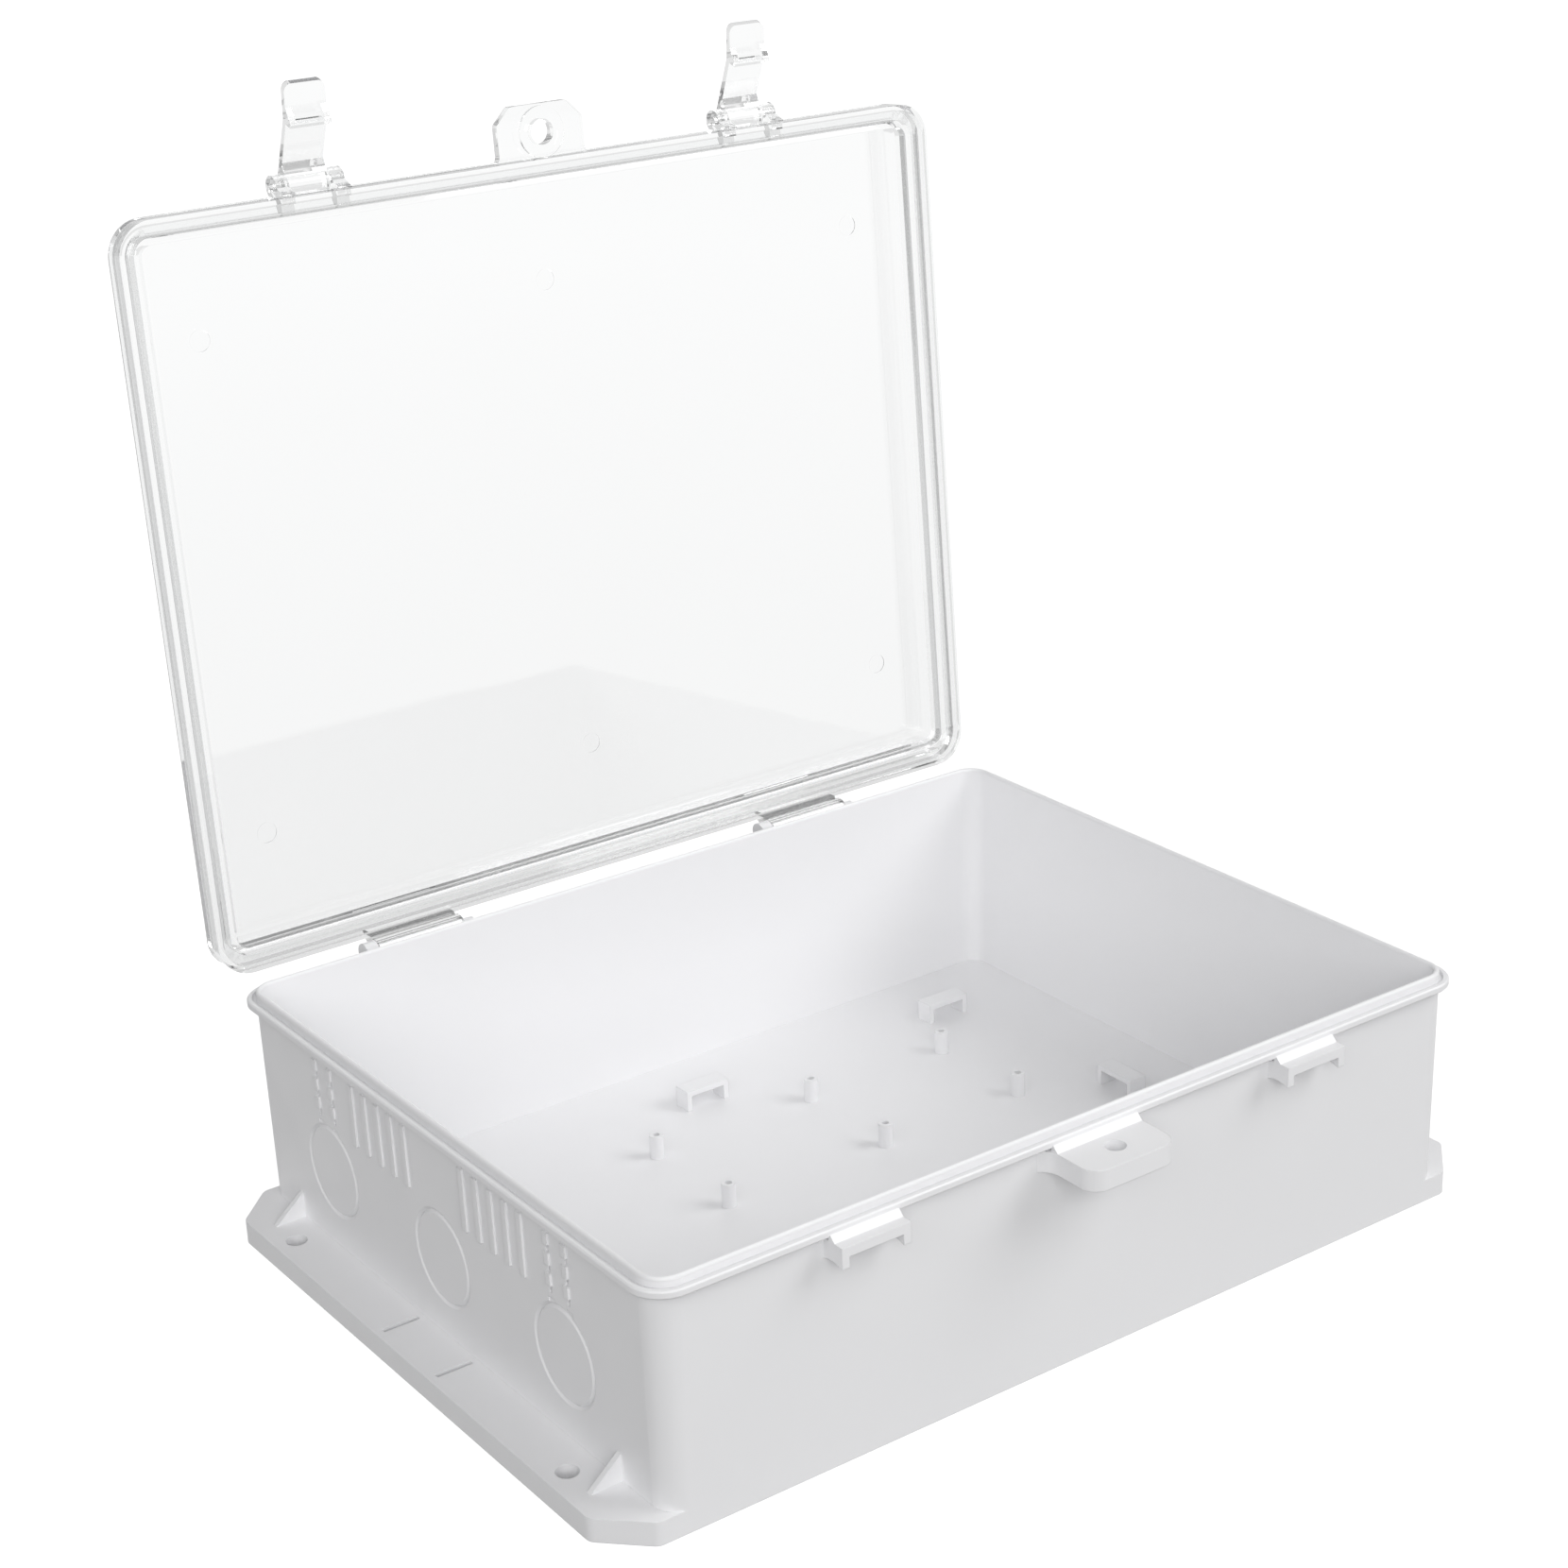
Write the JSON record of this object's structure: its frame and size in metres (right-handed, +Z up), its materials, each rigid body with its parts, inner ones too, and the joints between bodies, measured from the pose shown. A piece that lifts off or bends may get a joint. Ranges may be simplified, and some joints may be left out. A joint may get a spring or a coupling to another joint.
{
  "type": "hinged enclosure",
  "caption": "Shallow hinged polycarbonate enclosure: grey base with mounting flanges and knock-outs, clear lid with seal, snap latches and padlock hasp.",
  "frame": {"origin": "centre of the base's bottom face, in the middle of the wall mounting holes", "axes": "+X along the hinge to the right, +Y towards the hinge, +Z up out of the base's opening"},
  "size_m": [0.3366, 0.3045, 0.3612],
  "materials": {
    "grey_polycarbonate": "light grey moulded polycarbonate, satin",
    "clear_polycarbonate": "clear moulded polycarbonate, polished",
    "clear_silicone": "translucent soft silicone, satin",
    "clear_latch": "clear moulded polycarbonate, polished"
  },
  "bodies": {
    "base": {"base": "grey_polycarbonate", "tie_bridges": "grey_polycarbonate"},
    "lid": {"lid": "clear_polycarbonate", "lid_seal": "clear_silicone"},
    "latch_left": {"latch_left": "clear_latch"},
    "latch_right": {"latch_right": "clear_latch"}
  },
  "joints": [
    {"name": "lid_hinge", "type": "hinge", "parent": "base", "child": "lid", "pos_m": [0, 0.1273, 0.077], "axis": [1, 0, 0], "range_deg": [0, 93.7]},
    {"name": "latch_left_hinge", "type": "hinge", "parent": "lid", "child": "latch_left", "pos_m": [-0.0843, 0.15899, 0.32838], "axis": [1, 0, 0], "range_deg": [-26, 64]},
    {"name": "latch_right_hinge", "type": "hinge", "parent": "lid", "child": "latch_right", "pos_m": [0.0843, 0.15899, 0.32838], "axis": [1, 0, 0], "range_deg": [-26, 64]}
  ]
}
